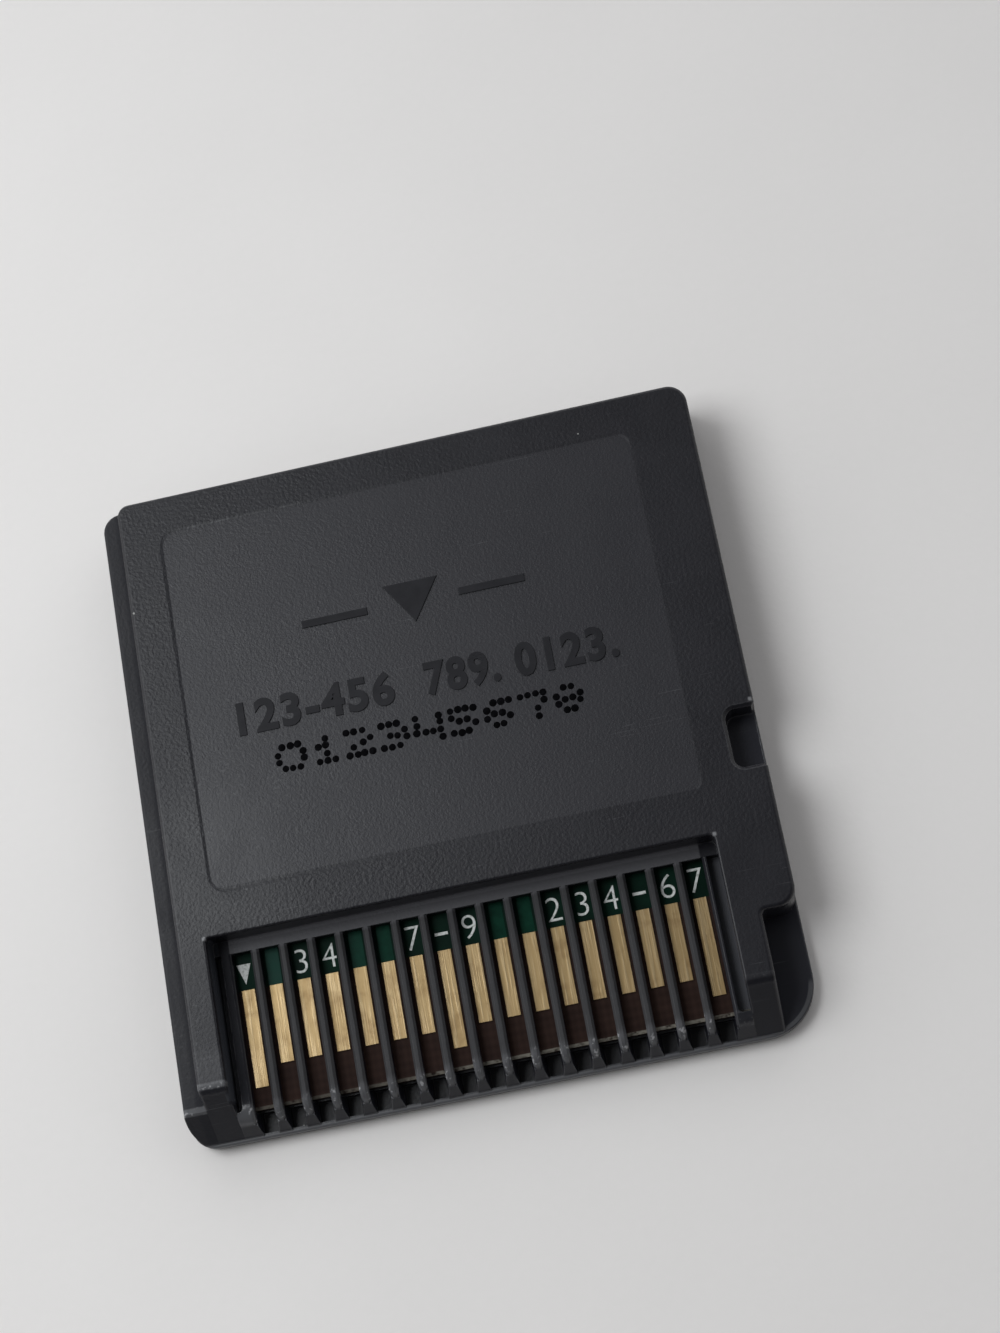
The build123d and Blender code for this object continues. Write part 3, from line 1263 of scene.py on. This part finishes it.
def bar(length: float, width: float, height: float) -> bmesh.types.BMesh:
    """A low bar with a softened top, centred over the origin.

    Args:
        length: Its size along X.
        width: Its size along Y.
        height: Its size along Z.

    Returns:
        The new bmesh.
    """
    mesh = bmesh.new()
    bmesh.ops.create_grid(mesh, x_segments=1, y_segments=1, size=0.5)
    bmesh.ops.scale(mesh, vec=(length, width, 1.0), verts=mesh.verts)
    extrude_up(mesh, height)
    soften_top(mesh, 0.4 * min(height, width))
    return mesh


def centred(mesh: bmesh.types.BMesh) -> Vector:
    """Move a bmesh to the origin by the middle of its box.

    Args:
        mesh: The bmesh.

    Returns:
        The size of its box.
    """
    low = Vector(min(vertex.co[i] for vertex in mesh.verts) for i in range(3))
    high = Vector(max(vertex.co[i] for vertex in mesh.verts) for i in range(3))
    bmesh.ops.translate(mesh, verts=mesh.verts, vec=-(low + high) / 2)
    return high - low


def triangle(width: float, length: float, height: float) -> bmesh.types.BMesh:
    """A low triangle that points to the contact end, centred over the origin.

    Args:
        width: Its size along X.
        length: Its size along Y.
        height: Its size along Z.

    Returns:
        The new bmesh.
    """
    mesh = bmesh.new()
    bmesh.ops.create_circle(mesh, cap_ends=True, segments=3, radius=1.0)
    bmesh.ops.rotate(mesh, verts=mesh.verts, matrix=Matrix.Rotation(math.pi, 3, "Z"))
    size = centred(mesh)
    bmesh.ops.scale(mesh, vec=(width / size.x, length / size.y, 1.0), verts=mesh.verts)
    extrude_up(mesh, height)
    soften_top(mesh, 0.4 * height)
    return mesh


def written(text: str, width: float, length: float, height: float, weight: float) -> bmesh.types.BMesh:
    """Plain written figures, fitted to a size and centred over the origin.

    Args:
        text: What is written.
        width: The most that it may take along X.
        length: Its size along Y.
        height: Its size along Z.
        weight: How much thicker the strokes are, as a share of the letter size.

    Returns:
        The new bmesh.
    """
    curve = bpy.data.curves.new("figure", "FONT")
    curve.body = text
    curve.resolution_u = 4
    curve.offset = weight
    curve.space_character = 1.12
    holder = bpy.data.objects.new("figure", curve)
    bpy.context.scene.collection.objects.link(holder)
    shape = holder.evaluated_get(bpy.context.evaluated_depsgraph_get())
    data = bpy.data.meshes.new_from_object(shape)
    mesh = bmesh.new()
    mesh.from_mesh(data)
    bpy.data.objects.remove(holder)
    bpy.data.curves.remove(curve)
    bpy.data.meshes.remove(data)
    size = centred(mesh)
    tall = length / size.y
    wide = min(tall, width / size.x)
    bmesh.ops.scale(mesh, vec=(wide, tall, 1.0), verts=mesh.verts)
    bmesh.ops.remove_doubles(mesh, verts=mesh.verts, dist=1e-5)
    extrude_up(mesh, height)
    return mesh


def move(mesh: bmesh.types.BMesh, place: Vector | Point) -> bmesh.types.BMesh:
    """Move a bmesh.

    Args:
        mesh: The bmesh.
        place: How far it moves.

    Returns:
        The same bmesh.
    """
    bmesh.ops.translate(mesh, verts=mesh.verts, vec=place)
    return mesh


@dataclass
class CardCase:
    """The two moulded shells, and what stands on the recessed panel."""

    panel_left: float = 3.41
    panel_right: float = 3.48
    panel_near: float = 12.65
    panel_far: float = 2.17
    panel_depth: float = 0.06
    guide_width: float = 1.23
    guide_drop: float = 1.05
    wall_skin: float = 0.08
    recess_depth: float = 0.2
    grille_left: float = 3.48
    grille_right: float = 4.35
    grille_length: float = 10.15
    rib_side: float = 2.0
    slant_length: float = 2.6
    step_size: tuple[float, float] = (2.1, 7.2)
    notch_span: tuple[float, float] = (13.1, 16.9)
    turn_radius: float = 2.8
    label_side: float = 1.8
    label_near: float = 6.4
    window_sides: tuple[float, float] = (2.6, 3.4)
    mark_place: tuple[float, float] = (0.0, 8.5)
    mark_width: float = 3.0
    mark_length: float = 2.3
    mark_height: float = 0.055
    bar_length: float = 3.6
    bar_width: float = 0.42
    bar_gap: float = 1.0
    row_place: tuple[float, float] = (0.0, 4.05)
    row_length: float = 1.9
    row_weight: float = 0.034

    ROW: ClassVar[tuple[tuple[str, float, float], ...]] = (
        ("123-456", -6.05, 8.7),
        ("789.", 1.9, 4.0),
        ("0123.", 7.5, 5.5),
    )

    def build(self) -> None:
        """Dress the shells and build the marks on the panel."""
        places = self.places(Box.of("back_shell"), Box.of("front_shell"))
        dress(("back_shell", "front_shell"), CasePlastic(places).material())
        polished = PolishedMark().material()
        self.insertion_mark(places.panel_floor, polished)
        self.figure_row(places.panel_floor, polished)

    def places(self, shell: Box, card: Box) -> CasePlaces:
        """Find the parts of the shells from their boxes.

        Args:
            shell: The back shell's box.
            card: The front shell's box, as wide and as long as the card.

        Returns:
            The places.
        """
        left, near = shell.low.x, shell.low.y
        right, far, top = shell.high.x, shell.high.y, shell.high.z
        window_far = near + self.grille_length
        notch_near, notch_far = (near + reach for reach in self.notch_span)
        keyed_left, keyed_right = right - self.step_size[0], right + 0.5
        skin, side = self.wall_skin, self.label_side
        return CasePlaces(
            panel=Field(
                left + self.panel_left,
                right - self.panel_right,
                near + self.panel_near,
                far - self.panel_far,
            ),
            panel_floor=top - self.panel_depth,
            recess=Field(left + self.guide_width, right - skin, near + skin, far - skin),
            recess_top=top - self.recess_depth,
            grille=Field(left + self.grille_left, right - self.grille_right, near, window_far),
            rib_side=self.rib_side,
            guide=Field(left, left + self.guide_width, near, far),
            guide_top=top - self.guide_drop,
            label=Field(
                card.low.x + side,
                card.high.x - side,
                card.low.y + self.label_near,
                card.high.y - side,
            ),
            lip_top=shell.low.z,
            rail_end=near + self.slant_length,
            step=Field(keyed_left, keyed_right, near - 0.5, near + self.step_size[1]),
            notch=Field(keyed_left, keyed_right, notch_near, notch_far),
            turn=(card.high.x - self.turn_radius, card.low.y + self.turn_radius),
            turn_radius=self.turn_radius,
            corners=(
                (left + self.window_sides[0], window_far),
                (right - self.window_sides[1], window_far),
                (right - skin * 2, notch_far - skin * 2),
            ),
        )

    def insertion_mark(self, floor: float, material: bpy.types.Material) -> None:
        """A raised pointer to the contact end, between two bars.

        Args:
            floor: The height of the panel's floor.
            material: The mark's finish.
        """
        x, y = self.mark_place
        pointer = triangle(self.mark_width, self.mark_length, self.mark_height)
        piece("insertion_pointer", move(pointer, (x, y, floor)), material)
        reach = self.mark_width / 2 + self.bar_gap + self.bar_length / 2
        for side, name in ((-1, "insertion_bar_left"), (1, "insertion_bar_right")):
            strip = bar(self.bar_length, self.bar_width, self.mark_height)
            piece(name, move(strip, (x + side * reach, y, floor)), material)

    def figure_row(self, floor: float, material: bpy.types.Material) -> None:
        """A raised row of plain figures between the pointer and the ink.

        Args:
            floor: The height of the panel's floor.
            material: The row's finish.
        """
        x, y = self.row_place
        for index, (text, shift, width) in enumerate(self.ROW):
            mesh = written(text, width, self.row_length, self.mark_height, self.row_weight)
            piece(f"raised_figures_{index + 1}", move(mesh, (x + shift, y, floor)), material)


@dataclass
class InkCode:
    """A row of plain figures in black ink dots across the panel."""

    figures: str = "012345678"
    left: float = -8.45
    base: float = 0.83
    figure_pitch: float = 1.875
    column_pitch: float = 0.136
    row_pitch: float = 0.205
    dot_radius: float = 0.2
    dot_height: float = 0.012
    dot_sides: int = 12
    spread: float = 0.018
    seed: int = 5
    panel_depth: float = CardCase.panel_depth

    PATTERNS: ClassVar[Mapping[str, tuple[str, ...]]] = {
        "0": ("  #  #  #  ", "", "#         #", "", "#         #", "", "  #  #  #  "),
        "1": ("     #     ", "", "  #  #     ", "", "     #     ", "", "  #  #  #  "),
        "2": ("#  #  #    ", "", "         # ", "      #    ", "  #        ", "", "#  #  #  # "),
        "3": ("#  #  #    ", "", "         # ", "   #  #    ", "         # ", "", "#  #  #    "),
        "4": ("#        # ", "", "#        # ", "", "#  #  #  # ", "", "         # "),
        "5": ("#  #  #  # ", "", "#          ", "   #  #    ", "         # ", "", "#  #  #    "),
        "6": ("   #  #  # ", "", "#          ", "   #  #    ", "#        # ", "", "   #  #    "),
        "7": ("#  #  #  # ", "", "         # ", "", "      #    ", "", "      #    "),
        "8": ("   #  #    ", "", "#        # ", "   #  #    ", "#        # ", "", "   #  #    "),
    }

    def build(self) -> None:
        """Print the row, one piece for each figure."""
        ink = PrintInk(
            "ink_black_dots", (0.003, 0.003, 0.004, 1.0), (0.0012, 0.0012, 0.0016, 1.0), 0.6, 0.02, 0.3
        ).material()
        floor = Box.of("back_shell").high.z - self.panel_depth
        chance = random.Random(self.seed)
        for index, figure in enumerate(self.figures):
            mesh = bmesh.new()
            for column, row in self.dots(figure):
                x = self.left + index * self.figure_pitch + column * self.column_pitch
                y = self.base + row * self.row_pitch
                x += chance.gauss(0, self.spread)
                y += chance.gauss(0, self.spread)
                self.dot(mesh, x, y, floor, chance)
            piece(f"ink_figure_{index + 1}", mesh, ink)

    def dots(self, figure: str) -> list[tuple[int, int]]:
        """The places of a figure's dots.

        Args:
            figure: One figure.

        Returns:
            Pairs of column and row, with row 0 the lowest.
        """
        rows = self.PATTERNS[figure]
        count = len(rows)
        return [
            (column, count - 1 - line)
            for line, row in enumerate(rows)
            for column, mark in enumerate(row)
            if mark == "#"
        ]

    def dot(self, mesh: bmesh.types.BMesh, x: float, y: float, floor: float, chance: random.Random) -> None:
        """One low drop of ink.

        Args:
            mesh: The bmesh that takes it.
            x: Its place across the card.
            y: Its place along the card.
            floor: The height of the panel's floor.
            chance: Draws the size of each drop.
        """
        radius = self.dot_radius * chance.uniform(0.9, 1.08)
        bmesh.ops.create_cone(
            mesh,
            cap_ends=True,
            segments=self.dot_sides,
            radius1=radius,
            radius2=0.72 * radius,
            depth=self.dot_height,
            matrix=Matrix.Translation((x, y, floor + self.dot_height / 2)),
        )


@dataclass
class ContactBoard:
    """The board, its gold contacts and the white print above them."""

    pad_count: int = 17
    bevel: float = 0.15
    margin_reach: float = 0.62
    print_height: float = 0.012
    figure_width: float = 0.76
    figure_length: float = 1.26
    figure_weight: float = -0.012
    arrow_length: float = 1.09
    arrow_shift: tuple[float, float] = (-0.06, -0.1)
    print_from_pad: float = 0.31
    dash_length: float = 0.7
    dash_width: float = 0.16
    dash_shift: tuple[float, float] = (0.0, -0.07)
    trace_width: float = 0.72
    trace_shift: float = 0.0
    trace_height: float = 0.02
    trace_length: float = 2.6

    SILK: ClassVar[Mapping[Silk, tuple[int, ...]]] = {
        Silk.ARROW: (1,),
        Silk.DIGIT: (3, 4, 7, 9, 12, 13, 14, 16, 17),
        Silk.DASH: (8, 15),
        Silk.TRACE: (2, 5, 6, 10, 11),
    }

    def build(self) -> None:
        """Dress the board and the contacts, and print above them."""
        board = Box.of("circuit_board")
        pads = [f"contact_pad_{number:02d}" for number in range(1, self.pad_count + 1)]
        mask_from = Box.of(pads[0]).high.y
        left = Box.of(pads[0]).centre.x - self.margin_reach
        right = Box.of(pads[-1]).centre.x + self.margin_reach
        dress(("circuit_board",), BoardLaminate(board, mask_from, self.bevel, left, right).material())
        dress(pads, ContactGold().material())
        white = PrintInk(
            "ink_white_print", (0.42, 0.45, 0.42, 1.0), (0.80, 0.82, 0.80, 1.0), 0.6, 0.4, 0.22
        ).material()
        trace = MaskedTrace().material()
        for kind, numbers in self.SILK.items():
            for number in numbers:
                pad = Box.of(pads[number - 1])
                foot = Vector((pad.centre.x, pad.high.y + self.print_from_pad, board.high.z))
                if kind is Silk.TRACE:
                    self.trace(number, foot, trace)
                else:
                    self.figure(kind, number, foot, white)

    def figure(self, kind: Silk, number: int, foot: Vector, material: bpy.types.Material) -> None:
        """Print one mark above a contact.

        Args:
            kind: What is printed.
            number: The contact's number.
            foot: The middle of the mark's lower edge.
            material: The ink.
        """
        shift = (0.0, 0.0)
        if kind is Silk.ARROW:
            mesh = triangle(self.figure_width, self.arrow_length, self.print_height)
            shift = self.arrow_shift
        elif kind is Silk.DASH:
            mesh = bar(self.dash_length, self.dash_width, self.print_height)
            shift = self.dash_shift
        else:
            size = (self.figure_width, self.figure_length, self.print_height)
            mesh = written(str(number % 10), *size, self.figure_weight)
        centre = foot + Vector((shift[0], self.figure_length / 2 + shift[1], 0.0))
        piece(f"silk_{kind.value}_{number:02d}", move(mesh, centre), material)

    def trace(self, number: int, foot: Vector, material: bpy.types.Material) -> None:
        """Lay the line under the mask that leads away from a contact.

        Args:
            number: The contact's number.
            foot: The middle of the print's lower edge.
            material: The mask over copper.
        """
        start = foot.y - self.print_from_pad
        mesh = bar(self.trace_width, self.trace_length, self.trace_height)
        centre = (foot.x + self.trace_shift, start + self.trace_length / 2, foot.z)
        piece(f"masked_trace_{number:02d}", move(mesh, centre), material)


@dataclass
class BoardParts:
    """The chips and small parts inside the case."""

    chips: tuple[str, ...] = ("memory_chip", "save_chip")
    capacitors: int = 3
    resistors: int = 2

    def build(self) -> None:
        """Dress the parts."""
        dress([f"{chip}_body" for chip in self.chips], ChipCompound().material())
        dress([f"{chip}_leads" for chip in self.chips], TinnedLead().material())
        tan = ((0.20, 0.13, 0.08, 1.0), (0.28, 0.19, 0.12, 1.0))
        black = ((0.010, 0.010, 0.012, 1.0), (0.022, 0.022, 0.026, 1.0))
        kinds = (("capacitor", self.capacitors, tan), ("resistor", self.resistors, black))
        for kind, count, colours in kinds:
            for number in range(1, count + 1):
                node = f"{kind}_{number}"
                dress((node,), PassiveCeramic(Box.of(node), f"{node}_ceramic", *colours).material())


@dataclass(frozen=True)
class SoftLight:
    """One square studio light."""

    name: str
    place: Point
    size: float
    power: float
    colour: tuple[float, float, float] = (1.0, 1.0, 1.0)

    def build(self, aim: Vector) -> None:
        """Hang the light.

        Args:
            aim: What it shines at, in metres.
        """
        lamp = bpy.data.lights.new(self.name, "AREA")
        lamp.shape = "SQUARE"
        lamp.size = self.size * MM
        lamp.energy = self.power
        lamp.color = self.colour
        holder = bpy.data.objects.new(self.name, lamp)
        holder.location = Vector(self.place) * MM
        holder.rotation_euler = (aim - holder.location).to_track_quat("-Z", "Y").to_euler()
        bpy.context.scene.collection.objects.link(holder)


@dataclass
class Studio:
    """The pale floor, the soft lights and the camera at the photograph's view."""

    floor_size: float = 4000.0
    floor_drop: float = 0.01
    camera_place: Point = (12.909, -32.670, 120.040)
    camera_aim: Point = (3.793, 4.499, 1.900)
    camera_turn: float = 10.296
    focal_pixels: float = 2324.43
    picture_height: float = 1333.0
    sensor: float = 36.0
    room: Colour = (0.97, 0.98, 1.0, 1.0)
    ceiling: float = 0.10
    walls: float = 0.85
    wall_foot: float = 0.35
    wall_top: float = 0.93
    room_lean: tuple[float, float] = (-0.25, 0.95)
    lights: tuple[SoftLight, ...] = (
        SoftLight("window_light", (-91.0, 31.0, 151.0), 108.0, 0.170, (0.95, 0.98, 1.0)),
    )

    def build(self) -> None:
        """Lay the floor, hang the lights and set the camera."""
        self.floor()
        self.world()
        for light in self.lights:
            light.build(Vector((0.0, 0.0, 0.0)))
        self.camera()
        bpy.context.scene.view_settings.view_transform = "Standard"

    def floor(self) -> None:
        """Lay the floor just under the card."""
        mesh = bmesh.new()
        bmesh.ops.create_grid(mesh, x_segments=1, y_segments=1, size=self.floor_size / 2 * MM)
        bmesh.ops.translate(mesh, verts=mesh.verts, vec=(0.0, 0.0, -self.floor_drop * MM))
        data = bpy.data.meshes.new("studio_floor")
        mesh.to_mesh(data)
        mesh.free()
        data.materials.append(PaleFloor().material())
        made = bpy.data.objects.new("studio_floor", data)
        bpy.context.scene.collection.objects.link(made)
        LOG.info("studio_floor: %.0f mm wide", self.floor_size)

    def world(self) -> None:
        """Set the soft light of the room: pale walls, brighter on the window's side, under a dim ceiling."""
        world = bpy.data.worlds.new("studio_room")
        nodes = Nodes(world)
        way = nodes.node("ShaderNodeTexCoord", output="Generated")
        wall = nodes.part(way, "Z").rise(self.wall_top, self.wall_foot)
        side = 1 + nodes.part(way, "X") * self.room_lean[0] + nodes.part(way, "Y") * self.room_lean[1]
        strength = (self.ceiling + wall * (self.walls - self.ceiling)) * side
        light = nodes.node("ShaderNodeBackground", None, {"Color": self.room, "Strength": strength})
        nodes.make("ShaderNodeOutputWorld", None, {"Surface": light})
        bpy.context.scene.world = world

    def camera(self) -> None:
        """Set the camera at the photograph's view."""
        data = bpy.data.cameras.new("photo_camera")
        data.sensor_width = self.sensor
        data.lens = self.focal_pixels * self.sensor / self.picture_height
        data.clip_start = MM
        data.clip_end = 2 * self.floor_size * MM
        holder = bpy.data.objects.new("photo_camera", data)
        place = Vector(self.camera_place) * MM
        back = (place - Vector(self.camera_aim) * MM).normalized()
        turn = math.radians(self.camera_turn)
        right = Vector((math.sin(turn), math.cos(turn), 0.0)).cross(back).normalized()
        upright = back.cross(right)
        holder.matrix_world = Matrix.LocRotScale(place, Matrix((right, upright, back)).transposed(), None)
        bpy.context.scene.collection.objects.link(holder)
        bpy.context.scene.camera = holder


def main() -> None:
    """Build the sub-assemblies in order, then the studio round them."""
    logging.basicConfig(level=logging.INFO, format="%(name)s: %(message)s")
    for part in (CardCase(), InkCode(), ContactBoard(), BoardParts(), Studio()):
        part.build()
        LOG.info("%s is done", type(part).__name__)


if __name__ == "__main__":
    main()
